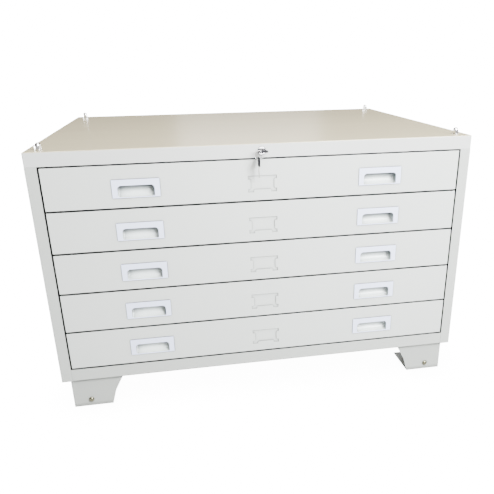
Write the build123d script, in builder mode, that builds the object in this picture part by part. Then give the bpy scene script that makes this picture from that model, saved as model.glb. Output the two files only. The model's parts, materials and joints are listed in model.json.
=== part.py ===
from build123d import *
import os

# A five-drawer flat file cabinet for large sheets, in millimetres.
# +Z is up, the drawers open towards -Y, and +X is to the right of a person facing them.
# The origin is on the floor, at the centre of the whole object with its keys.

# Carcass
cabinet_width = 1000.0
body_depth = 722.0
body_height = 552.0
foot_height = 79.0
sheet = 1.2
bend = 2.4  # outside radius of a fold in the carcass sheet
cap_height = 31.0  # the folded edge of the top panel
cap_return = 20.0
post_width = 25.0
post_return = 30.0
flange = 20.0
bottom_rail_top = 32.0  # above the underside of the body
bottom_rail_return = 20.0
upright_width = 60.0
upright_inset = 110.0  # from the front or back plane to the upright's middle

# Feet
foot_sheet = 2.0
foot_inset_side = 18.0
foot_inset_front = 9.0
foot_top_width = 126.0
foot_knee_width = 104.0
foot_bottom_width = 93.0
foot_knee_drop = 41.0
foot_bolt_inset = 42.0  # from the foot's outer edge
foot_bolt_height = 18.0
foot_bolt_radius = 3.0
foot_bolt_head_radius = 6.5
foot_bolt_head_height = 4.0
foot_nut_radius = 5.5
foot_nut_height = 5.0
foot_bolt_tail = 1.5  # past the nut

# Stacking studs on the top
stud_inset_side = 28.0
stud_inset_front = 29.0
stud_radius = 4.0
stud_washer_radius = 8.0
stud_washer_height = 1.6
stud_nut_across_flats = 13.0
stud_nut_hex_height = 6.5
stud_nut_height = 14.0
stud_nut_roof = 3.0  # metal over the end of the bolt
stud_head_height = 5.3
hole_clearance = 0.25

# Drawers
drawer_count = 5
drawer_gap = 3.2  # round each front
drawer_sheet = 1.0
front_depth = 20.0
front_bend = 1.6
front_back_flange = 16.0
tray_back_clearance = 42.0  # from the back plane
tray_below_front_top = 9.0
tray_above_front_bottom = 7.0
tray_rim = 8.0
small_round = 0.4

# Label holder, pressed into each drawer front
label_width = 66.0
label_height = 38.0
label_drop = 8.7  # its middle, below the middle of the front
label_recess = 1.8
label_lip = 6.0
label_lip_thickness = 0.6
label_lip_round = 3.0
label_side_lip_height = 22.0
label_bottom_lip_width = 40.0

# Recessed pulls
handle_offset = 278.0  # from the cabinet's middle
handle_drop = 4.5  # its middle, below the middle of the front
handle_width = 104.0
handle_height = 42.0
handle_proud = 1.2
handle_corner = 3.0
handle_side_band = 12.5
handle_top_band = 14.0
handle_bottom_band = 2.5
handle_band_thickness = 3.0
handle_pocket_depth = 16.5  # behind the face of the pull
handle_pocket_rise = 9.0  # finger room behind the top band
handle_pocket_scoop = 12.0
handle_pocket_round = 4.0
handle_pocket_side_round = 3.5
handle_opening_round = 8.0
handle_wall = 2.0
handle_fit = 0.3

# Telescopic slides
slide_width = 12.7
slide_sheet = 1.2
slide_start = 22.0  # behind the front plane
slide_back_clearance = 50.0  # from the back plane
outer_slide_height = 45.0
mid_slide_height = 36.0
inner_slide_height = 26.0
outer_slide_lip = 9.5
mid_slide_web = 4.5
mid_slide_lip = 10.2
inner_slide_lip = 7.6

# Lock in the middle of the top rail
lock_face_radius = 8.9
lock_face_height = 1.5
lock_barrel_radius = 8.0
lock_barrel_length = 24.0
lock_nut_across_flats = 22.0
lock_nut_height = 4.0
plug_radius = 6.0
plug_fit = 0.06
plug_tail_radius = 4.0
plug_shoulder = 0.4  # past the end of the barrel
cam_thickness = 2.0
cam_length = 35.0
cam_width = 14.0

# Keys
key_blade_width = 8.0
key_blade_thickness = 1.6
key_blade_inserted = 20.0
key_blade_in_bow = 5.0
keyway_clearance = 0.3
key_bow_width = 22.5
key_bow_length = 20.0
key_bow_thickness = 2.6
key_bow_round = 5.0
key_bow_standoff = 5.0  # from the front plane to the bow
key_bow_strip = 3.0  # material between the slot and the edge
key_slot_length = 4.0
ring_radius = 9.2
ring_wire_radius = 0.6
ring_gap = 0.8  # over the bow of the key in the lock
spare_gap = 0.7  # between the ring and the strip of the spare key

# Places worked out from the sizes above
key_slot_reach = key_bow_standoff + key_bow_length - key_bow_strip - key_slot_length / 2
key_reach = key_slot_reach + key_bow_width / 2
half_width = cabinet_width / 2
front_y = -(body_depth - key_reach) / 2
back_y = front_y + body_depth
body_base = foot_height
body_top = body_base + body_height
cap_base = body_top - cap_height
opening_base = body_base + bottom_rail_top
opening_half_width = half_width - post_width
front_height = (cap_base - opening_base - (drawer_count + 1) * drawer_gap) / drawer_count
front_half_width = opening_half_width - drawer_gap
tray_half_width = opening_half_width - slide_width
tray_height = front_height - tray_below_front_top - tray_above_front_bottom
tray_depth = body_depth - front_depth - tray_back_clearance
slide_end = body_depth - slide_back_clearance
handle_face_y = front_y - handle_proud
handle_pocket_half_width = handle_width / 2 - handle_side_band
handle_pocket_top = handle_height - handle_top_band + handle_pocket_rise
lock_z = body_top - cap_height / 2
stud_half_x = half_width - stud_inset_side
stud_half_y = body_depth / 2 - stud_inset_front
middle_y = (front_y + back_y) / 2
stud_places = [
    (x, middle_y + y) for x in (-stud_half_x, stud_half_x) for y in (-stud_half_y, stud_half_y)
]

os.makedirs("parts", exist_ok=True)


def save(piece, name):
    """Labels a finished piece and writes its STEP file."""
    piece.part.label = name
    export_step(piece.part, f"parts/{name}.step")


def block(x, y, z, mode=Mode.ADD):
    """A box between two limits along each axis, in either order."""
    middle = tuple(sum(limits) / 2 for limits in (x, y, z))
    with Locations(middle):
        Box(abs(x[1] - x[0]), abs(y[1] - y[0]), abs(z[1] - z[0]), mode=mode)


def channel(web_x, lip_x, height, z, y, thickness):
    """A channel along Y: an upright web at web_x, and a flange above and below it out to lip_x."""
    inward = 1 if lip_x > web_x else -1
    block((web_x, web_x + inward * thickness), y, (z - height / 2, z + height / 2))
    for edge in (-1, 1):
        outer = z + edge * height / 2
        block((web_x, lip_x), y, (outer, outer - edge * thickness))


def across(y):
    """The upright plane at y that faces the front, with its own x along X and its own y along Z."""
    return Plane((0, y, 0), x_dir=(1, 0, 0), z_dir=(0, -1, 0))


def drawer_middle(number):
    """Height of the middle of a drawer front, with drawer 1 at the top."""
    return cap_base - drawer_gap - front_height / 2 - (number - 1) * (front_height + drawer_gap)


def slide_middle(number):
    """Height of a drawer's slides: the middle of its tray's sides."""
    tray_base = drawer_middle(number) - front_height / 2 + tray_above_front_bottom
    return tray_base + tray_height / 2


# Top panel: a cap folded down on all four sides, with a return under the front and the sides
with BuildPart() as top_panel:
    block((-half_width, half_width), (front_y, back_y), (cap_base, body_top))
    fillet(top_panel.edges().filter_by(Axis.Z), bend)
    fillet(top_panel.faces().sort_by(Axis.Z)[-1].edges(), bend)
    offset(amount=-sheet, openings=top_panel.faces().sort_by(Axis.Z)[0])
    return_z = (cap_base, cap_base + sheet)
    inner_x = half_width - sheet
    block((-inner_x, inner_x), (front_y + sheet, front_y + cap_return), return_z)
    for side in (-1, 1):
        block((side * inner_x, side * (half_width - flange)), (front_y + sheet, back_y - 3 * sheet), return_z)
    with BuildSketch(Plane.XY.offset(body_top)):
        with Locations(*stud_places):
            Circle(stud_radius + hole_clearance)
    extrude(amount=-2 * sheet, mode=Mode.SUBTRACT)
    with BuildSketch(across(front_y - sheet)):
        with Locations((0, lock_z)):
            Circle(lock_barrel_radius + hole_clearance)
    extrude(amount=-3 * sheet, mode=Mode.SUBTRACT)
save(top_panel, "top_panel")

# Side panels: each has a front post with a return, and flanges at the back, top and bottom
for side, name in ((-1, "left"), (1, "right")):
    outer_x = side * half_width
    inner_x = side * (half_width - sheet)
    flange_x = side * (half_width - flange)
    post_x = side * opening_half_width
    with BuildPart() as side_panel:
        block((outer_x, inner_x), (front_y, back_y), (body_base, cap_base))
        block((outer_x, post_x), (front_y, front_y + sheet), (body_base, cap_base))
        block(
            (post_x, post_x + side * sheet),
            (front_y, front_y + post_return),
            (body_base + sheet, cap_base),
        )
        block((outer_x, flange_x), (back_y, back_y - sheet), (body_base, cap_base))
        for low in (body_base + sheet, cap_base - sheet):
            block((inner_x, flange_x), (front_y + sheet, back_y - 2 * sheet), (low, low + sheet))
        corner = side_panel.edges().filter_by(Axis.Z).group_by(Axis.X)[0 if side < 0 else -1]
        fillet(corner, sheet)
    save(side_panel, f"{name}_side_panel")

# Back panel, inside the rear flanges of the side panels and the cap
with BuildPart() as back_panel:
    block(
        (-half_width + bend, half_width - bend),
        (back_y - 2 * sheet, back_y - sheet),
        (body_base + sheet, body_top - bend - sheet),
    )
save(back_panel, "back_panel")

# Bottom panel, under the bottom flanges of the side panels
with BuildPart() as bottom_panel:
    block(
        (-half_width + sheet, half_width - sheet),
        (front_y + sheet, back_y - sheet),
        (body_base, body_base + sheet),
    )
save(bottom_panel, "bottom_panel")

# Bottom front rail: a channel between the posts, open to the back
with BuildPart() as bottom_front_rail:
    rail_z = (body_base + sheet, opening_base)
    block((-opening_half_width, opening_half_width), (front_y, front_y + bottom_rail_return), rail_z)
    fillet(bottom_front_rail.edges().filter_by(Axis.X).group_by(Axis.Y)[0], sheet)
    block(
        (-opening_half_width, opening_half_width),
        (front_y + sheet, front_y + bottom_rail_return),
        (rail_z[0] + sheet, rail_z[1] - sheet),
        mode=Mode.SUBTRACT,
    )
save(bottom_front_rail, "bottom_front_rail")

# Uprights: channels on the side panels that carry the slides
for end, end_name, upright_y in (
    (-1, "front", front_y + upright_inset),
    (1, "rear", back_y - upright_inset),
):
    for side, side_name in ((-1, "left"), (1, "right")):
        web_x = side * opening_half_width
        wall_x = side * (half_width - sheet)
        upright_y_limits = (upright_y - upright_width / 2, upright_y + upright_width / 2)
        upright_z = (body_base + 2 * sheet, cap_base - sheet)
        with BuildPart() as upright:
            block((web_x, wall_x), upright_y_limits, upright_z)
            block(
                (web_x + side * sheet, wall_x),
                (upright_y_limits[0] + sheet, upright_y_limits[1] - sheet),
                upright_z,
                mode=Mode.SUBTRACT,
            )
        save(upright, f"upright_{end_name}_{side_name}")


def foot(side, end):
    """A folded corner foot: two sloping faces that meet at its outer corner, a top and a base."""
    corner_x = side * (half_width - foot_inset_side)
    corner_y = end * (body_depth / 2 - foot_inset_front) + middle_y
    outline = [
        (0, foot_height),
        (foot_top_width, foot_height),
        (foot_knee_width, foot_height - foot_knee_drop),
        (foot_bottom_width, 0),
        (0, 0),
    ]
    wide_face = Plane((corner_x, corner_y, 0), x_dir=(-side, 0, 0), z_dir=(0, side, 0))
    deep_face = Plane((corner_x, corner_y, 0), x_dir=(0, -end, 0), z_dir=(-end, 0, 0))
    with BuildPart() as leg:
        for face in (wide_face, deep_face):
            inward = -end * side if face is wide_face else end * side
            with BuildSketch(face):
                with BuildLine():
                    Polyline(*outline, close=True)
                make_face()
            extrude(amount=inward * foot_sheet)
        for reach, z in (
            (foot_top_width, (foot_height - foot_sheet, foot_height)),
            (foot_bottom_width, (0, foot_sheet)),
        ):
            block((corner_x, corner_x - side * reach), (corner_y, corner_y - end * reach), z)
        corner = leg.edges().filter_by(Axis.Z).group_by(SortBy.LENGTH)[-1]
        outer = corner.sort_by_distance((corner_x, corner_y, foot_height / 2))[0]
        fillet(outer, foot_sheet)
        with BuildSketch(wide_face):
            with Locations((foot_bolt_inset, foot_bolt_height)):
                Circle(foot_bolt_radius + hole_clearance)
        extrude(amount=-end * side * foot_sheet, mode=Mode.SUBTRACT)
    return leg


for end, end_name in ((-1, "front"), (1, "rear")):
    for side, side_name in ((-1, "left"), (1, "right")):
        leg = foot(side, end)
        save(leg, f"foot_{end_name}_{side_name}")


def foot_bolt_plane(side, end):
    """The outer face of a foot at its bolt, facing out."""
    x = side * (half_width - foot_inset_side - foot_bolt_inset)
    y = end * (body_depth / 2 - foot_inset_front) + middle_y
    return Plane((x, y, foot_bolt_height), x_dir=(1, 0, 0), z_dir=(0, end, 0))


foot_places = [foot_bolt_plane(side, end) for end in (-1, 1) for side in (-1, 1)]

# Foot bolts: a domed head outside and a shank through to the nut
with BuildPart() as foot_bolts:
    for face in foot_places:
        with BuildSketch(face):
            Circle(foot_bolt_head_radius)
        extrude(amount=foot_bolt_head_height)
        with BuildSketch(face):
            Circle(foot_bolt_radius)
        extrude(amount=-(foot_sheet + foot_nut_height + foot_bolt_tail))
    rims = foot_bolts.edges().filter_by(GeomType.CIRCLE).group_by(Axis.Y)
    fillet(rims[0] + rims[-1], foot_bolt_head_height - small_round)
save(foot_bolts, "foot_bolts")

with BuildPart() as foot_nuts:
    for face in foot_places:
        with BuildSketch(face.offset(-foot_sheet)):
            RegularPolygon(foot_nut_radius, 6)
            Circle(foot_bolt_radius, mode=Mode.SUBTRACT)
        extrude(amount=-foot_nut_height)
save(foot_nuts, "foot_nuts")


def stud_circles(radius, height, mode=Mode.ADD, start=0.0):
    """A round at each stud, from a height above the top panel."""
    with BuildSketch(Plane.XY.offset(body_top + start)) as rounds:
        with Locations(*stud_places):
            Circle(radius)
    extrude(rounds.sketch, amount=height, mode=mode)


def stud_hexagons(height, start):
    """A hexagon at each stud, from a height above the top panel."""
    with BuildSketch(Plane.XY.offset(body_top + start)) as hexagons:
        with Locations(*stud_places):
            RegularPolygon(stud_nut_across_flats / 2, 6, major_radius=False)
    extrude(hexagons.sketch, amount=height)


# Stacking studs: a bolt from below, a washer and a dome nut near each corner of the top
bolt_length = sheet + stud_washer_height + stud_nut_height - stud_nut_roof
with BuildPart() as stacking_bolts:
    stud_circles(stud_radius, bolt_length, start=-sheet)
    stud_hexagons(-stud_head_height, -sheet)
save(stacking_bolts, "stacking_bolts")

with BuildPart() as stacking_washers:
    stud_circles(stud_washer_radius, stud_washer_height)
    stud_circles(stud_radius + hole_clearance, stud_washer_height, Mode.SUBTRACT)
save(stacking_washers, "stacking_washers")

with BuildPart() as stacking_nuts:
    dome_radius = stud_nut_across_flats / 2 - small_round
    stud_circles(dome_radius, stud_nut_height, start=stud_washer_height)
    crowns = stacking_nuts.faces().group_by(Axis.Z)[-1].edges()
    fillet(crowns, dome_radius - small_round)
    stud_hexagons(stud_nut_hex_height, stud_washer_height)
    stud_circles(stud_radius, stud_nut_height - stud_nut_roof, Mode.SUBTRACT, stud_washer_height)
save(stacking_nuts, "stacking_nuts")

# Fixed slide members on the uprights
for side, side_name in ((-1, "left"), (1, "right")):
    with BuildPart() as outer_slides:
        for number in range(1, drawer_count + 1):
            channel(
                side * opening_half_width,
                side * (opening_half_width - outer_slide_lip),
                outer_slide_height,
                slide_middle(number),
                (front_y + slide_start, front_y + slide_end),
                slide_sheet,
            )
    save(outer_slides, f"outer_slides_{side_name}")


def moving_slides(number, web, lip, height):
    """One moving slide member on each side of a drawer; web and lip are distances from the uprights."""
    with BuildPart() as members:
        for side in (-1, 1):
            channel(
                side * (opening_half_width - web),
                side * (opening_half_width - lip),
                height,
                slide_middle(number),
                (front_y + slide_start, front_y + slide_end),
                slide_sheet,
            )
    return members


def drawer_front(number):
    """A folded front: a shallow box, open at the back, with two handle holes and a label holder."""
    middle = drawer_middle(number)
    low = middle - front_height / 2
    high = middle + front_height / 2
    back = front_y + front_depth
    label_z = middle - label_drop
    half_label = label_width / 2
    label_low = label_z - label_height / 2
    label_high = label_z + label_height / 2
    recess_y = front_y + label_recess
    side_lip_x = half_label - label_lip / 2
    with BuildPart() as front:
        block((-front_half_width, front_half_width), (front_y, back), (low, high))
        fillet(front.faces().sort_by(Axis.Y)[0].edges(), front_bend)
        block(
            (-front_half_width + drawer_sheet, front_half_width - drawer_sheet),
            (front_y + drawer_sheet, back - drawer_sheet),
            (low + drawer_sheet, high - drawer_sheet),
            mode=Mode.SUBTRACT,
        )
        block(
            (-front_half_width + front_back_flange, front_half_width - front_back_flange),
            (back - 2 * drawer_sheet, back + drawer_sheet),
            (low + front_back_flange, high - front_back_flange),
            mode=Mode.SUBTRACT,
        )
        for side in (-1, 1):
            handle_x = side * handle_offset
            hole_x = handle_pocket_half_width + handle_wall + handle_fit
            base = handle_base(number)
            block(
                (handle_x - hole_x, handle_x + hole_x),
                (front_y - drawer_sheet, front_y + 2 * drawer_sheet),
                (
                    base + handle_bottom_band - handle_wall - handle_fit,
                    base + handle_pocket_top + handle_wall + handle_fit,
                ),
                mode=Mode.SUBTRACT,
            )
        block(
            (-half_label - drawer_sheet, half_label + drawer_sheet),
            (front_y + drawer_sheet, recess_y + drawer_sheet),
            (label_low - drawer_sheet, label_high + drawer_sheet),
        )
        block(
            (-half_label, half_label),
            (front_y - drawer_sheet, recess_y),
            (label_low, label_high),
            mode=Mode.SUBTRACT,
        )
        with BuildSketch(across(front_y)):
            with Locations((0, label_low + label_lip / 2)):
                Rectangle(label_bottom_lip_width, label_lip)
            fillet(vertices().group_by(Axis.Y)[-1], label_lip_round)
            with Locations((-side_lip_x, label_z), (side_lip_x, label_z)):
                Rectangle(label_lip, label_side_lip_height)
            free_ends = vertices().group_by(Axis.X)
            fillet(free_ends[1] + free_ends[-2], label_lip_round)
        extrude(amount=-label_lip_thickness)
    return front


def handle_base(number):
    """Height of the lower edge of a drawer's two pulls."""
    return drawer_middle(number) - handle_drop - handle_height / 2


def pocket(number, side, grow, start_y):
    """The scooped pocket of a pull as a solid, grown on every side, from start_y back."""
    half = handle_pocket_half_width + grow
    end_y = handle_face_y + handle_pocket_depth + grow
    low = handle_base(number) + handle_bottom_band - grow
    high = handle_base(number) + handle_pocket_top + grow
    with BuildPart() as scoop:
        with BuildSketch(Plane.YZ.offset(side * handle_offset - half)):
            with Locations(((start_y + end_y) / 2, (low + high) / 2)):
                Rectangle(end_y - start_y, high - low)
            rear = vertices().group_by(Axis.X)[-1].sort_by(Axis.Y)
            fillet(rear[0], handle_pocket_scoop + grow)
            fillet(rear[-1], handle_pocket_round + grow)
        extrude(amount=2 * half)
        end_edges = scoop.faces().filter_by(Axis.X).edges()
        fillet(end_edges - end_edges.group_by(Axis.Y)[0], handle_pocket_side_round + grow)
    return scoop.part


def drawer_handle(number, side):
    """A recessed pull: a frame on the drawer front and a scooped finger pocket behind its top band."""
    base = handle_base(number)
    opening_height = handle_height - handle_top_band - handle_bottom_band
    shell = pocket(number, side, handle_wall, front_y)
    hollow = pocket(number, side, 0, handle_face_y + handle_band_thickness)
    with BuildPart() as pull:
        with BuildSketch(across(front_y)):
            with Locations((side * handle_offset, base + handle_height / 2)):
                RectangleRounded(handle_width, handle_height, handle_corner)
        extrude(amount=handle_proud)
        fillet(pull.faces().sort_by(Axis.Y)[0].edges(), handle_proud - small_round)
        add(shell)
        add(hollow, mode=Mode.SUBTRACT)
        with BuildSketch(across(handle_face_y)):
            with Locations((side * handle_offset, base + handle_bottom_band + opening_height / 2)):
                Rectangle(2 * handle_pocket_half_width, opening_height)
            fillet(vertices().group_by(Axis.Y)[0], handle_pocket_side_round)
            fillet(vertices().group_by(Axis.Y)[-1], handle_opening_round)
        extrude(amount=-handle_band_thickness - small_round, mode=Mode.SUBTRACT)
    return pull


def drawer_tray(number):
    """An open tray; its sides fold outwards over the slides."""
    low = drawer_middle(number) - front_height / 2 + tray_above_front_bottom
    high = low + tray_height
    start = front_y + front_depth
    end = start + tray_depth
    with BuildPart() as tray:
        block((-tray_half_width, tray_half_width), (start, end), (low, high))
        block(
            (-tray_half_width + drawer_sheet, tray_half_width - drawer_sheet),
            (start + drawer_sheet, end - drawer_sheet),
            (low + drawer_sheet, high + drawer_sheet),
            mode=Mode.SUBTRACT,
        )
        for side in (-1, 1):
            rim_x = (side * tray_half_width, side * (tray_half_width + tray_rim))
            block(rim_x, (start, end), (high - drawer_sheet, high))
    return tray


for number in range(1, drawer_count + 1):
    drawer = f"drawer_{number}"
    save(drawer_front(number), f"{drawer}_front")
    save(drawer_tray(number), f"{drawer}_tray")
    save(drawer_handle(number, -1), f"{drawer}_handle_left")
    save(drawer_handle(number, 1), f"{drawer}_handle_right")
    save(moving_slides(number, slide_width, inner_slide_lip, inner_slide_height), f"{drawer}_inner_slides")
    save(moving_slides(number, mid_slide_web, mid_slide_lip, mid_slide_height), f"{drawer}_mid_slides")


def lock_round(radius, start_y, length, mode=Mode.ADD):
    """A round on the lock's axis, from start_y towards the back."""
    with BuildSketch(across(start_y)) as disc:
        with Locations((0, lock_z)):
            Circle(radius)
    extrude(disc.sketch, amount=-length, mode=mode)


lock_face_y = front_y - lock_face_height
cam_y = front_y + lock_barrel_length + plug_shoulder

# Lock body: a round face on the top rail and a barrel behind it
with BuildPart() as lock_body:
    lock_round(lock_face_radius, lock_face_y, lock_face_height)
    fillet(lock_body.faces().sort_by(Axis.Y)[0].edges(), lock_face_height / 2)
    lock_round(lock_barrel_radius, front_y, lock_barrel_length)
    bore_length = lock_face_height + lock_barrel_length
    lock_round(plug_radius + plug_fit, lock_face_y, bore_length, Mode.SUBTRACT)
save(lock_body, "lock_body")

with BuildPart() as lock_nut:
    with BuildSketch(across(front_y + sheet)):
        with Locations((0, lock_z)):
            RegularPolygon(lock_nut_across_flats / 2, 6, major_radius=False)
            Circle(lock_barrel_radius, mode=Mode.SUBTRACT)
    extrude(amount=-lock_nut_height)
save(lock_nut, "lock_nut")

# Lock plug: it turns in the barrel, holds the keyway, and carries the cam on its tail
with BuildPart() as lock_plug:
    lock_round(plug_radius, lock_face_y, cam_y - lock_face_y)
    lock_round(plug_tail_radius, cam_y, cam_thickness + sheet)
    half_keyway_width = key_blade_width / 2 + keyway_clearance
    half_keyway_height = key_blade_thickness / 2 + keyway_clearance
    block(
        (-half_keyway_width, half_keyway_width),
        (lock_face_y - sheet, front_y + key_blade_inserted + keyway_clearance),
        (lock_z - half_keyway_height, lock_z + half_keyway_height),
        mode=Mode.SUBTRACT,
    )
save(lock_plug, "lock_plug")

# Lock cam: it points to the right when unlocked, and down behind the top drawer's tray when locked
with BuildPart() as lock_cam:
    with BuildSketch(across(cam_y)):
        with Locations((0, lock_z)):
            Circle(cam_width / 2)
        with Locations((cam_length / 2, lock_z)):
            Rectangle(cam_length, cam_width)
        fillet(vertices().group_by(Axis.X)[-1], cam_width / 4)
        with Locations((0, lock_z)):
            Circle(plug_tail_radius, mode=Mode.SUBTRACT)
    extrude(amount=-cam_thickness)
save(lock_cam, "lock_cam")


def key_bow(face):
    """A flat rounded bow: its outer end is at the plane's origin and it runs along the plane's y."""
    with BuildPart() as bow:
        with BuildSketch(face):
            with Locations((0, key_bow_length / 2)):
                RectangleRounded(key_bow_width, key_bow_length, key_bow_round)
            with Locations((0, key_bow_strip + key_slot_length / 2)):
                SlotOverall(key_bow_width - 2 * key_bow_strip, key_slot_length, mode=Mode.SUBTRACT)
        extrude(amount=key_bow_thickness / 2, both=True)
        with BuildSketch(face):
            with Locations((0, key_bow_length - key_blade_in_bow / 2)):
                Rectangle(key_blade_width, key_blade_in_bow)
        extrude(amount=key_blade_thickness / 2, both=True, mode=Mode.SUBTRACT)
    return bow


def key_blade(face):
    """A flat blade with a sloped tip; the plane is the one that its bow stands on."""
    root = key_bow_length - key_blade_in_bow
    tip = key_bow_length + key_bow_standoff + key_blade_inserted
    shoulder = tip - key_blade_width / 2
    half = key_blade_width / 2
    with BuildPart() as blade:
        with BuildSketch(face):
            with BuildLine():
                Polyline(
                    (-half, root),
                    (half, root),
                    (half, shoulder),
                    (half / 2, tip),
                    (-half / 2, tip),
                    (-half, shoulder),
                    close=True,
                )
            make_face()
        extrude(amount=key_blade_thickness / 2, both=True)
    return blade


# The ring passes through the slots of both bows and hangs on the end of the first one
ring_x = -(key_bow_width - key_bow_strip) / 2
ring_y = front_y - key_slot_reach
ring_z = lock_z + key_bow_thickness / 2 + ring_gap - ring_radius + ring_wire_radius
spare_top_z = ring_z - ring_radius + ring_wire_radius + spare_gap + key_bow_strip
key_end_y = front_y - key_bow_standoff - key_bow_length
key_face = Plane((0, key_end_y, lock_z), x_dir=(1, 0, 0), z_dir=(0, 0, 1))
spare_face = Plane((ring_x, ring_y, spare_top_z), x_dir=(0, 1, 0), z_dir=(-1, 0, 0))

save(key_bow(key_face), "key_bow")
save(key_blade(key_face), "key_blade")
save(key_bow(spare_face), "spare_key_bow")
save(key_blade(spare_face), "spare_key_blade")

with BuildPart() as key_ring:
    with BuildSketch(Plane.XY.offset(ring_z)):
        with Locations((ring_x + ring_radius, ring_y)):
            Circle(ring_wire_radius)
    revolve(axis=Axis((ring_x, ring_y, ring_z), (0, 1, 0)))
save(key_ring, "key_ring")
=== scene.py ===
import json
import math

import bmesh
import bpy
from mathutils import Matrix, Vector


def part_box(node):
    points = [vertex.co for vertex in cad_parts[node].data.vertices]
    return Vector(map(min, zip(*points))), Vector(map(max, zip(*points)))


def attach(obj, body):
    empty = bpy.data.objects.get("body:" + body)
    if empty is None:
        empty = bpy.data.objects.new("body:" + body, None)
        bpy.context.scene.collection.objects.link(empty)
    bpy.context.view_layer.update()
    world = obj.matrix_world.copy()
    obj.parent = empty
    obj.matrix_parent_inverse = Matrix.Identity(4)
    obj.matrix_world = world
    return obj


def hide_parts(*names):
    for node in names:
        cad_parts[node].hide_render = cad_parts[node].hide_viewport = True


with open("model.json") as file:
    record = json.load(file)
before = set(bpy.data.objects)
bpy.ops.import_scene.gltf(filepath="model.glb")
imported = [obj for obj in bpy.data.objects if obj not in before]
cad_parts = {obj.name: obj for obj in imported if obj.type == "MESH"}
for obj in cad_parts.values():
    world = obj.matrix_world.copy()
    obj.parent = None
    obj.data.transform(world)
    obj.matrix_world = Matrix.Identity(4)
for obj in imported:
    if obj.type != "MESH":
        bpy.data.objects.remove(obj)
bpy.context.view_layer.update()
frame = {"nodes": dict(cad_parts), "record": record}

# Flat file cabinet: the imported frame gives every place, this script gives the finish.
# Metres, Z up, the drawers open towards -Y.

mm = 0.001
bodyOf = {
    node: body
    for body, nodes in frame["record"]["behaviour"]["bodies"].items()
    for node in nodes
}
slotOf = {part["node"]: part["material_slot"] for part in frame["record"]["subparts"]}
drawers = sorted(
    node.removesuffix("_front")
    for node in frame["nodes"]
    if node.startswith("drawer_") and node.endswith("_front")
)


# one socket of a node tree, so that shader maths reads as plain expressions
class Wire:
    def __init__(self, tree, socket):
        self.tree = tree
        self.socket = socket

    def maths(self, operation, other=None, reflected=False):
        node = self.tree.nodes.new("ShaderNodeMath")
        node.operation = operation
        pair = (other, self) if reflected else (self, other)
        for slot, value in zip(node.inputs, pair):
            if isinstance(value, Wire):
                self.tree.links.new(value.socket, slot)
            elif value is not None:
                slot.default_value = value
        return Wire(self.tree, node.outputs[0])

    def __add__(self, other):
        return self.maths("ADD", other)

    def __sub__(self, other):
        return self.maths("SUBTRACT", other)

    def __rsub__(self, other):
        return self.maths("SUBTRACT", other, reflected=True)

    def __mul__(self, other):
        return self.maths("MULTIPLY", other)

    def __truediv__(self, other):
        return self.maths("DIVIDE", other)

    def __pow__(self, other):
        return self.maths("POWER", other)

    def above(self, other):
        return self.maths("GREATER_THAN", other)

    def kept(self):
        return self.maths("MAXIMUM", 0.0).maths("MINIMUM", 1.0)

    # a pattern of 0 to 1, made to swing evenly either side of nothing
    def swung(self, amount):
        return (self - 0.5) * amount

    __radd__ = __add__
    __rmul__ = __mul__


# the nodes of a material or of the world
class Nodes:
    def __init__(self, tree):
        self.tree = tree

    # any node: its type, its settings, then the values or links of its sockets
    def node(self, kind, settings, inputs, output=0):
        node = self.tree.nodes.new(kind)
        for name, value in settings.items():
            setattr(node, name, value)
        for name, value in inputs.items():
            if isinstance(value, Wire):
                self.tree.links.new(value.socket, node.inputs[name])
            else:
                node.inputs[name].default_value = value
        return Wire(self.tree, node.outputs[output])

    def ray(self, kind):
        return self.node("ShaderNodeLightPath", {}, {}, kind)

    def mixed(self, factor, first, second):
        return self.node("ShaderNodeMixShader", {}, {0: factor, 1: first, 2: second})

    def showAt(self, ending, wire):
        self.tree.links.new(wire.socket, self.tree.nodes[ending].inputs["Surface"])


# a material while it is being made
class Finish(Nodes):
    def __init__(self, name):
        self.material = bpy.data.materials.new(name)
        self.material.use_nodes = True
        super().__init__(self.material.node_tree)
        self.shader = self.tree.nodes["Principled BSDF"]
        self.place = self.node("ShaderNodeTexCoord", {}, {}, "Object")

    def noise(self, scale, detail, stretch=(1, 1, 1)):
        place = self.node("ShaderNodeMapping", {}, {"Vector": self.place, "Scale": stretch})
        inputs = {"Vector": place, "Scale": scale, "Detail": detail}
        return self.node("ShaderNodeTexNoise", {}, inputs, "Fac")

    def along(self, axis):
        return self.node("ShaderNodeSeparateXYZ", {}, {"Vector": self.place}, axis)

    def blended(self, factor, first, second):
        inputs = {0: factor, 6: first, 7: second}
        return self.node("ShaderNodeMix", {"data_type": "RGBA"}, inputs, 2)

    # a pattern that runs from a darker to a lighter shade of one colour
    def toned(self, pattern, colour, tones):
        return self.blended(pattern, shade(colour, tones[0]), shade(colour, tones[1]))

    # 1 on faces marked as a piece's outer edge, 0 on the rest
    def marked(self):
        return self.node("ShaderNodeAttribute", {"attribute_name": "outer_edge"}, {}, "Fac")

    def bumped(self, height, distance, strength):
        inputs = {"Height": height, "Distance": distance, "Strength": strength}
        return self.node("ShaderNodeBump", {}, inputs)

    # how far a point is shut in by what is near it
    def crevice(self, reach, opening=0.0):
        settings = {"samples": creviceSamples}
        shut = 1.0 - self.node("ShaderNodeAmbientOcclusion", settings, {"Distance": reach}, "AO")
        return ((shut - opening) / (1.0 - opening)).kept()

    # painted shade: a darker colour painted in where the surface is shut in
    def darkened(self, tone, colour, reach, opening, gain, share):
        where = (self.crevice(reach, opening) * gain).kept() * share
        return self.blended(where, tone, shade(colour))

    # numbers are set on the shader, wires are linked to it
    def surface(self, values):
        for name, value in values.items():
            socket = self.shader.inputs[name]
            if isinstance(value, Wire):
                self.tree.links.new(value.socket, socket)
            else:
                socket.default_value = value
        return self.material


def shade(colour, amount=1.0):
    return (*[channel * amount for channel in colour], 1.0)


creviceSamples = 12
# near-black colour of the painted shade in gaps, folds and slits
gapShadeColour = (0.022, 0.022, 0.021)

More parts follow.
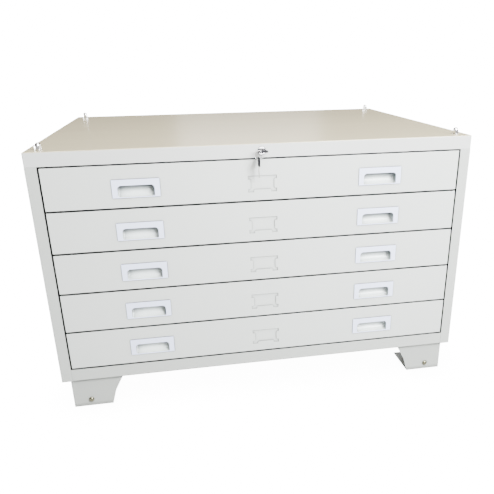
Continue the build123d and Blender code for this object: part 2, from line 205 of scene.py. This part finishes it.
# patterns are given as scale, detail and, where they run one way, stretch
powder = {
    "drift": (3.5, 2.0),
    "grain": (900.0, 2.0),
    "pores": (260.0, 3.0),
    "skin": (420.0, 1.0),
    "driftTones": (0.97, 1.03),
    "grainTone": 0.93,
    "grainShare": 0.3,
    "grainInSkin": 0.35,
    "poresInGloss": 0.10,
    "driftInGloss": 0.06,
    "height": 0.12 * mm,
    # painted shade: in the gaps between parts, and deeper in the slits and hollows
    "gaps": {"reach": 0.012, "opening": 0.03, "gain": 5.0},
    "slits": {"reach": 0.012, "opening": 0.58, "gain": 3.0, "share": 0.95},
}


# Powder coat: fine orange peel, a slow drift of tone, and painted shade where sheets meet, in
# the gaps, folds and slits
def powderCoat(name, colour, rough, peel, gapShadeShare=0.98, edgeShadeShare=0.0):
    finish = Finish(name)
    # faces marked as outer edges take a larger share of the painted shade, such as the drawer
    # fronts' folds in the gaps
    if edgeShadeShare:
        gapShadeShare = gapShadeShare + finish.marked() * edgeShadeShare
    drift = finish.noise(*powder["drift"])
    grain = finish.noise(*powder["grain"])
    pores = finish.noise(*powder["pores"])
    tone = finish.toned(drift, colour, powder["driftTones"])
    grainTone = shade(colour, powder["grainTone"])
    tone = finish.blended(grain * powder["grainShare"], tone, grainTone)
    tone = finish.darkened(tone, gapShadeColour, share=gapShadeShare, **powder["gaps"])
    tone = finish.darkened(tone, gapShadeColour, **powder["slits"])
    skin = finish.noise(*powder["skin"]) + grain * powder["grainInSkin"]
    uneven = pores.swung(powder["poresInGloss"]) + drift.swung(powder["driftInGloss"])
    return finish.surface({
        "Base Color": tone,
        "Roughness": rough + uneven,
        "Normal": finish.bumped(skin, powder["height"], peel),
    })


gloss = {
    "drift": (2.2, 2.0),
    "strokes": (9.0, 3.0, (0.25, 1.0, 1.0)),
    "skin": (300.0, 1.0),
    "driftTones": (0.97, 1.03),
    "edgeBelow": 2.2 * mm,  # the edge's tone ends this far below the top
    "edgeFade": 1.6 * mm,
    "strokesInGloss": 0.08,
    "height": 0.08 * mm,
    "peel": 0.10,
    # painted shade in the gaps round the top
    "gaps": {"reach": 0.010, "opening": 0.15, "gain": 1.0, "share": 0.9},
}


# Gloss coat of the top: its face painted warmer than its folded edge as painted warm light,
# painted shade in its gaps, wiped in long soft strokes
def glossCoat(name, face, edge, rough):
    finish = Finish(name)
    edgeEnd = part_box("top_panel")[1].z - gloss["edgeBelow"]
    # the face above the folded edge takes the painted warm light
    warmLitFace = ((finish.along("Z") - edgeEnd) / gloss["edgeFade"]).kept()
    drift = finish.noise(*gloss["drift"])
    strokes = finish.noise(*gloss["strokes"])
    skin = finish.noise(*gloss["skin"])
    tone = finish.toned(drift, face, gloss["driftTones"])
    tone = finish.blended(warmLitFace, shade(edge), tone)
    tone = finish.darkened(tone, gapShadeColour, **gloss["gaps"])
    return finish.surface({
        "Base Color": tone,
        "Roughness": rough + strokes.swung(gloss["strokesInGloss"]),
        "Normal": finish.bumped(skin, gloss["height"], gloss["peel"]),
    })


pull = {
    "film": (0.72, 0.78, 1.0),
    "bare": (0.76, 0.82, 0.80),
    "rough": 0.30,
    "spark": (1600.0, 2.0),
    "flow": (30.0, 2.0),
    "pocketBehind": 2.2 * mm,  # the pocket starts this far behind the frame's face
    "flowTone": 0.9,
    "flowShare": 0.12,
    "flowInGloss": 0.12,
    "sparkInGloss": 0.08,
    "height": 0.04 * mm,
    "peel": 0.3,
    # painted shade round the frame's outline and in the pocket's corners
    "corners": {"reach": 0.004, "opening": 0.1, "gain": 1.6, "share": 0.8},
    "cornerShade": (0.10, 0.10, 0.14),
    "bandFrom": 19.0 * mm,  # shade painted under the top band, down from the top of a pull
    "bandFall": 11.0 * mm,
    "bandShare": 0.8,
    "bandShade": (0.12, 0.13, 0.14),
    # painted shade deep in the pocket
    "depths": {"reach": 0.030, "opening": 0.36, "gain": 2.2, "share": 0.88},
    "depthShade": (0.05, 0.055, 0.06),
    # painted dark rim along the frame's marked outer faces, a painted shadow line
    "rimShade": (0.045, 0.045, 0.075),
}


# Moulded pull: a pale blue film on the frame, and bare plastic in the pocket behind it, with
# painted shade round the frame, under the top band and deep in the pocket
def pullPlastic(name):
    finish = Finish(name)
    low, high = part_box("drawer_1_handle_left")
    pitch = high.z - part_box("drawer_2_handle_left")[1].z
    spark = finish.noise(*pull["spark"])
    flow = finish.noise(*pull["flow"])
    pocket = (finish.along("Y") - low.y).above(pull["pocketBehind"])
    down = (high.z - finish.along("Z")).maths("FLOORED_MODULO", pitch)
    underBand = (1.0 - (down - pull["bandFrom"]) / pull["bandFall"]).kept()
    bandMask = pocket * underBand * pull["bandShare"]
    tone = finish.blended(pocket, shade(pull["film"]), shade(pull["bare"]))
    flowTone = shade(pull["bare"], pull["flowTone"])
    tone = finish.blended(flow * pull["flowShare"], tone, flowTone)
    tone = finish.darkened(tone, pull["cornerShade"], **pull["corners"])
    tone = finish.blended(bandMask, tone, shade(pull["bandShade"]))
    tone = finish.darkened(tone, pull["depthShade"], **pull["depths"])
    # painted dark rim on the marked outer faces
    tone = finish.blended(finish.marked(), tone, shade(pull["rimShade"]))
    uneven = flow.swung(pull["flowInGloss"]) + spark.swung(pull["sparkInGloss"])
    return finish.surface({
        "Base Color": tone,
        "Roughness": pull["rough"] + uneven,
        "Normal": finish.bumped(spark, pull["height"], pull["peel"]),
    })


keyPlastic = {
    "colour": (0.011, 0.011, 0.013),
    "rough": 0.55,
    "shine": 0.1,
    "spark": (1600.0, 2.0),
    "flow": (60.0, 2.0),
    "tones": (0.8, 1.5),
    "flowInGloss": 0.2,
    "sparkInGloss": 0.1,
    "height": 0.05 * mm,
    "peel": 0.5,
}


# Black plastic: a faint spark texture and uneven gloss
def blackPlastic(name):
    finish = Finish(name)
    spark = finish.noise(*keyPlastic["spark"])
    flow = finish.noise(*keyPlastic["flow"])
    uneven = flow.swung(keyPlastic["flowInGloss"]) + spark.swung(keyPlastic["sparkInGloss"])
    return finish.surface({
        "Specular IOR Level": keyPlastic["shine"],
        "Base Color": finish.toned(flow, keyPlastic["colour"], keyPlastic["tones"]),
        "Roughness": keyPlastic["rough"] + uneven,
        "Normal": finish.bumped(spark, keyPlastic["height"], keyPlastic["peel"]),
    })


chrome = {
    "haze": (120.0, 3.0),
    "hairs": (900.0, 2.0, (1.0, 1.0, 0.12)),
    "tones": (0.93, 1.0),
    # painted shade where the chrome meets its seat
    "seatReach": 0.004,
    "seatFade": 0.8,
    "seatShade": (0.10, 0.095, 0.075),
    # painted shade ring round the lock's bright face
    "rimShade": (0.05, 0.05, 0.055),
    "hazeInGloss": 0.05,
    "hairsInGloss": 0.03,
    "height": 0.01 * mm,
    "peel": 0.4,
}


# Chrome plate: bright, hazed where it was handled, with painted shade where it meets its seat,
# and a painted shade ring past a radius where a middle is given
def chromePlate(name, colour, rough, middle=None, radius=0.0):
    finish = Finish(name)
    haze = finish.noise(*chrome["haze"])
    hairs = finish.noise(*chrome["hairs"])
    tone = finish.toned(haze, colour, chrome["tones"])
    seat = finish.crevice(chrome["seatReach"]) ** chrome["seatFade"]
    tone = finish.blended(seat, tone, shade(chrome["seatShade"]))
    if middle:
        across = (finish.along("X") - middle.x) ** 2.0
        upwards = (finish.along("Z") - middle.z) ** 2.0
        rim = (across + upwards).above(radius ** 2)
        tone = finish.blended(rim, tone, shade(chrome["rimShade"]))
    return finish.surface({
        "Base Color": tone,
        "Metallic": 1.0,
        "Roughness": rough + haze * chrome["hazeInGloss"] + hairs * chrome["hairsInGloss"],
        "Normal": finish.bumped(hairs, chrome["height"], chrome["peel"]),
    })


plate = {
    "cloud": (22.0, 4.0),
    "lines": (900.0, 3.0),
    "tones": (0.86, 1.06),
    # painted shade where the plate meets its seat
    "seats": {"reach": 0.005, "opening": 0.0, "gain": 1.0, "share": 0.7},
    "seatShade": (0.12, 0.12, 0.11),
    "linesInGloss": 0.16,
    "cloudInGloss": 0.12,
    "height": 0.03 * mm,
    "peel": 0.5,
}


# Zinc or nickel plated steel: rolling lines along one axis, cloudy plating and painted shade
# where it meets its seat
def platedSteel(name, colour, rough, stretch):
    finish = Finish(name)
    cloud = finish.noise(*plate["cloud"])
    lines = finish.noise(*plate["lines"], stretch)
    tone = finish.toned(cloud, colour, plate["tones"])
    tone = finish.darkened(tone, plate["seatShade"], **plate["seats"])
    uneven = lines.swung(plate["linesInGloss"]) + cloud.swung(plate["cloudInGloss"])
    return finish.surface({
        "Base Color": tone,
        "Metallic": 1.0,
        "Roughness": rough + uneven,
        "Normal": finish.bumped(lines, plate["height"], plate["peel"]),
    })


print("finishes")
paint = {
    "carcass": (0.43, 0.448, 0.422),
    # the top's face colour is painted warm light on the top; its folded edge has the paint's own
    # colour
    "topFaceWarmLit": (0.475, 0.42, 0.275),
    "topEdge": (0.54, 0.55, 0.535),
    "drawer": (0.553, 0.577, 0.553),
    "tray": (0.51, 0.52, 0.505),
    "foot": (0.375, 0.39, 0.365),
}
coat = {
    "carcass": {"rough": 0.36, "peel": 0.25},
    "drawer": {"rough": 0.36, "peel": 0.25, "gapShadeShare": 0.5, "edgeShadeShare": 0.48},
    "tray": {"rough": 0.42, "peel": 0.35, "gapShadeShare": 0.5},
    "foot": {"rough": 0.40, "peel": 0.3, "gapShadeShare": 0.3},
}
lockLow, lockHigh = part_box("lock_body")
# the lock's face turns to painted shade past this radius
lockFace = {"middle": (lockLow + lockHigh) / 2, "radius": 8.3 * mm}
metal = {
    "chrome": ((0.86, 0.86, 0.87), 0.06),
    "lock_chrome": ((0.93, 0.93, 0.95), 0.10),
    "zinc_steel": ((0.62, 0.63, 0.65), 0.34, (1.0, 0.03, 1.0)),
    "nickel_steel": ((0.62, 0.61, 0.58), 0.34, (1.0, 1.0, 0.05)),
    # the foot bolts' plate is given a dark olive colour
    "bolt_nickel": ((0.24, 0.23, 0.16), 0.20, (1.0, 1.0, 0.3)),
}
finishes = {
    f"{part}_paint": powderCoat(f"{part} powder coat", paint[part], **coat[part])
    for part in coat
}
finishes |= {
    "top_paint": glossCoat("top gloss coat", paint["topFaceWarmLit"], paint["topEdge"], 0.24),
    "pull_plastic": pullPlastic("pull plastic"),
    "chrome": chromePlate("chrome plate", *metal["chrome"]),
    "lock_chrome": chromePlate("lock chrome plate", *metal["lock_chrome"], **lockFace),
    "zinc_steel": platedSteel("zinc plated steel", *metal["zinc_steel"]),
    "nickel_steel": platedSteel("nickel plated steel", *metal["nickel_steel"]),
    "bolt_nickel": platedSteel("dark olive nickel plate", *metal["bolt_nickel"]),
    "black_plastic": blackPlastic("black plastic"),
}
ownFinish = {
    "foot_bolts": "bolt_nickel",
    "lock_body": "lock_chrome",
    "lock_plug": "lock_chrome",
}


def finishOf(node):
    return finishes[ownFinish.get(node, slotOf[node])]


easing = {
    "mergeWithin": 1e-6,
    "flatWithin": 0.6,  # degrees
    "foldsOver": 28,
    "smoothUnder": 35,
    "segments": 2,
    "flatWeight": 100,
}


# a finished piece from a bmesh, riding on a body and standing for its CAD node
def madePiece(name, bm, node):
    mesh = bpy.data.meshes.new(name)
    bm.to_mesh(mesh)
    bm.free()
    for face in mesh.polygons:
        face.use_smooth = True
    mesh.set_sharp_from_angle(angle=math.radians(easing["smoothUnder"]))
    piece = bpy.data.objects.new(name, mesh)
    bpy.context.scene.collection.objects.link(piece)
    flatter = piece.modifiers.new("weighted normals", "WEIGHTED_NORMAL")
    flatter.weight = easing["flatWeight"]
    flatter.keep_sharp = True
    mesh.materials.append(finishOf(node))
    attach(piece, bodyOf[node])
    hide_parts(node)
    return piece


# a CAD node's mesh, merged, with its flat faces made whole again
def mergedMesh(node):
    bm = bmesh.new()
    bm.from_mesh(frame["nodes"][node].data)
    bmesh.ops.remove_doubles(bm, verts=bm.verts, dist=easing["mergeWithin"])
    bmesh.ops.dissolve_limit(
        bm, angle_limit=math.radians(easing["flatWithin"]), verts=bm.verts, edges=bm.edges,
    )
    return bm


# marks the faces that lie along the outline of the node, seen from the front, where shade is
# painted
def markedEdges(bm, node, sides, ends):
    low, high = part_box(node)
    layer = bm.faces.layers.float.new("outer_edge")
    for face in bm.faces:
        middle = face.calc_center_median()
        if min(middle.z - low.z, high.z - middle.z) < ends["within"] * mm:
            face[layer] = ends["mark"]
        elif min(middle.x - low.x, high.x - middle.x) < sides["within"] * mm:
            face[layer] = sides["mark"]


# the node's shape with its folds and cut edges eased
def easedPiece(node, width, segments=easing["segments"], outline=None):
    bm = mergedMesh(node)
    fold = math.radians(easing["foldsOver"])
    edges = [
        edge for edge in bm.edges if len(edge.link_faces) == 2 and edge.calc_face_angle() > fold
    ]
    bmesh.ops.bevel(
        bm, geom=edges, offset=width, offset_type="OFFSET", affect="EDGES", segments=segments,
        profile=0.5, material=-1, clamp_overlap=True,
    )
    if outline:
        markedEdges(bm, node, **outline)
    return madePiece(f"{node}_eased", bm, node)


print("carcass")
carcassEasing = {
    "top_panel": 0.35, "left_side_panel": 0.35, "right_side_panel": 0.35,
    "back_panel": 0.3, "bottom_panel": 0.3, "bottom_front_rail": 0.35,
    "upright_front_left": 0.3, "upright_front_right": 0.3,
    "upright_rear_left": 0.3, "upright_rear_right": 0.3,
    "outer_slides_left": 0.25, "outer_slides_right": 0.25,
    "foot_front_left": 0.5, "foot_front_right": 0.5,
    "foot_rear_left": 0.5, "foot_rear_right": 0.5,
}
for node, width in carcassEasing.items():
    easedPiece(node, width * mm)

print("drawers")
drawerEasing = {
    "front": 0.2, "tray": 0.25, "handle_left": 0.35, "handle_right": 0.35,
    "inner_slides": 0.25, "mid_slides": 0.25,
}
# the marked faces take painted shade: the drawer fronts' folds in the gaps, and a dark rim round
# each pull
pullRim = {"sides": {"within": 0.75, "mark": 1.0}, "ends": {"within": 0.75, "mark": 1.0}}
drawerOutline = {
    "front": {"sides": {"within": 4.0, "mark": 0.2}, "ends": {"within": 4.0, "mark": 1.0}},
    "handle_left": pullRim,
    "handle_right": pullRim,
}
for drawer in drawers:
    for part, width in drawerEasing.items():
        easedPiece(f"{drawer}_{part}", width * mm, outline=drawerOutline.get(part))

print("fasteners, lock and keys")
hardwareEasing = {
    "foot_nuts": 0.4, "stacking_washers": 0.35, "stacking_bolts": 0.4,
    "lock_body": 0.25, "lock_plug": 0.2, "lock_nut": 0.4, "lock_cam": 0.3,
    "key_blade": 0.15, "spare_key_blade": 0.15, "key_bow": 0.55, "spare_key_bow": 0.55,
}
for node, width in hardwareEasing.items():
    easedPiece(node, width * mm, segments=3)

# the CAD nodes themselves, those that show and those that are stood for
for node, cadObject in frame["nodes"].items():
    slots = cadObject.material_slots
    if not slots:
        cadObject.data.materials.append(None)
    for holder in slots:
        holder.material = finishOf(node)

print("stage")
stage = {
    "radius": 14.0,
    "segments": 96,
    "paper": (0.24, 0.24, 0.235),
    "paperRough": 0.9,
    "fibre": (60.0, 3.0),
    "fibreTones": (0.98, 1.0),
    "white": 17.0,  # how bright the lit paper and air look
    "paperMirrored": 0.04,  # share of that white that mirrors see
    "underFeet": 0.12,  # reach of the soft shade where the feet stand
    "underFeetShare": 0.3,
    "air": (1.0, 0.955, 0.89),
    "airStrength": 0.12,
    "airMirrored": 0.34,
}


# a wide round floor of white paper, lit so that it meets the air without a line
def paperFloor():
    bm = bmesh.new()
    bmesh.ops.create_circle(
        bm, cap_ends=True, segments=stage["segments"], radius=stage["radius"],
    )
    mesh = bpy.data.meshes.new("paper_floor")
    bm.to_mesh(mesh)
    bm.free()
    floor = bpy.data.objects.new("paper_floor", mesh)
    bpy.context.scene.collection.objects.link(floor)
    finish = Finish("studio paper")
    fibre = finish.noise(*stage["fibre"])
    finish.surface({
        "Base Color": finish.toned(fibre, stage["paper"], stage["fibreTones"]),
        "Roughness": stage["paperRough"],
    })
    shut = finish.crevice(stage["underFeet"])
    strength = stage["white"] * (1.0 - stage["underFeetShare"] * shut)
    glow = finish.node("ShaderNodeEmission", {}, {"Strength": strength})
    mirrored = finish.ray("Is Glossy Ray") * stage["paperMirrored"]
    seen = (finish.ray("Is Camera Ray") + mirrored).kept()
    paper = Wire(finish.tree, finish.shader.outputs[0])
    finish.showAt("Material Output", finish.mixed(seen, paper, glow))
    mesh.materials.append(finish.material)


paperFloor()

lights = {
    "key": {
        "at": (0.82, -1.65, 1.3), "to": (0.1, -0.35, 0.5),
        "size": (0.75, 0.75), "watts": 132, "colour": (0.96, 0.98, 1.0),
    },
    "front": {
        "at": (0.3, -2.0, 2.0), "to": (0.05, -0.35, 0.42),
        "size": (1.2, 1.2), "watts": 78, "colour": (0.985, 0.99, 1.0),
    },
    "overhead": {
        "at": (0.45, -0.75, 2.6), "to": (0.15, -0.1, 0.6),
        "size": (1.8, 1.4), "watts": 100, "colour": (1.0, 0.96, 0.9),
    },
    "card": {
        "at": (0.42, -2.3, 0.27), "to": (0.02, -0.35, 0.6),
        "size": (0.7, 0.4), "watts": 9, "colour": (1.0, 1.0, 1.0),
    },
    "rearLeft": {
        "at": (-2.3, 1.5, 0.75), "to": (-0.3, 0.25, 0.35),
        "size": (1.6, 1.0), "watts": 150, "colour": (1.0, 0.99, 0.97),
    },
    "rearRight": {
        "at": (2.5, 1.3, 0.75), "to": (0.3, 0.25, 0.35),
        "size": (1.4, 1.0), "watts": 140, "colour": (0.985, 0.99, 1.0),
    },
    "behind": {
        "at": (0.4, 3.0, 1.6), "to": (0.1, 0.0, 0.6),
        "size": (1.2, 0.9), "watts": 10, "colour": (1.0, 0.98, 0.95),
    },
}


def aimed(place, target):
    return (Vector(target) - Vector(place)).to_track_quat("-Z", "Y").to_matrix().to_4x4()


for name, lamp in lights.items():
    data = bpy.data.lights.new(name, "AREA")
    data.shape = "RECTANGLE"
    data.size, data.size_y = lamp["size"]
    data.energy = lamp["watts"]
    data.color = lamp["colour"]
    lampObject = bpy.data.objects.new(name, data)
    lampObject.matrix_world = Matrix.Translation(lamp["at"]) @ aimed(lamp["at"], lamp["to"])
    bpy.context.scene.collection.objects.link(lampObject)


# soft warm air round the cabinet, brighter in mirrors than on paint, and plain white to look at
def studioAir():
    world = bpy.data.worlds.new("studio air")
    world.use_nodes = True
    nodes = Nodes(world.node_tree)
    background = nodes.tree.nodes["Background"]
    background.inputs["Color"].default_value = shade(stage["air"])
    background.inputs["Strength"].default_value = stage["airStrength"]
    soft = Wire(nodes.tree, background.outputs[0])
    mirrored, white = (
        nodes.node("ShaderNodeBackground", {}, {"Color": shade(colour), "Strength": strength})
        for colour, strength in (
            (stage["air"], stage["airMirrored"]),
            ((1.0, 1.0, 1.0), stage["white"]),
        )
    )
    air = nodes.mixed(nodes.ray("Is Glossy Ray"), soft, mirrored)
    nodes.showAt("World Output", nodes.mixed(nodes.ray("Is Camera Ray"), air, white))
    bpy.context.scene.world = world


studioAir()

camera = {
    "at": (-0.17674, -1.53669, 0.81026),
    "right": (0.98428, -0.17619, -0.01201),
    "forward": (0.16044, 0.92057, -0.3561),
    "lens": 39.39,
    "sensor": 36.0,
    "shift": (-0.0607, 0.0302),
}


def placedCamera():
    forward = Vector(camera["forward"]).normalized()
    right = Vector(camera["right"])
    right = (right - forward * right.dot(forward)).normalized()
    up = right.cross(forward)
    turn = Matrix((right, up, -forward)).transposed().to_4x4()
    data = bpy.data.cameras.new("studio camera")
    data.sensor_width = camera["sensor"]
    data.lens = camera["lens"]
    data.shift_x, data.shift_y = camera["shift"]
    cameraObject = bpy.data.objects.new("studio camera", data)
    cameraObject.matrix_world = Matrix.Translation(camera["at"]) @ turn
    bpy.context.scene.collection.objects.link(cameraObject)
    bpy.context.scene.camera = cameraObject


placedCamera()
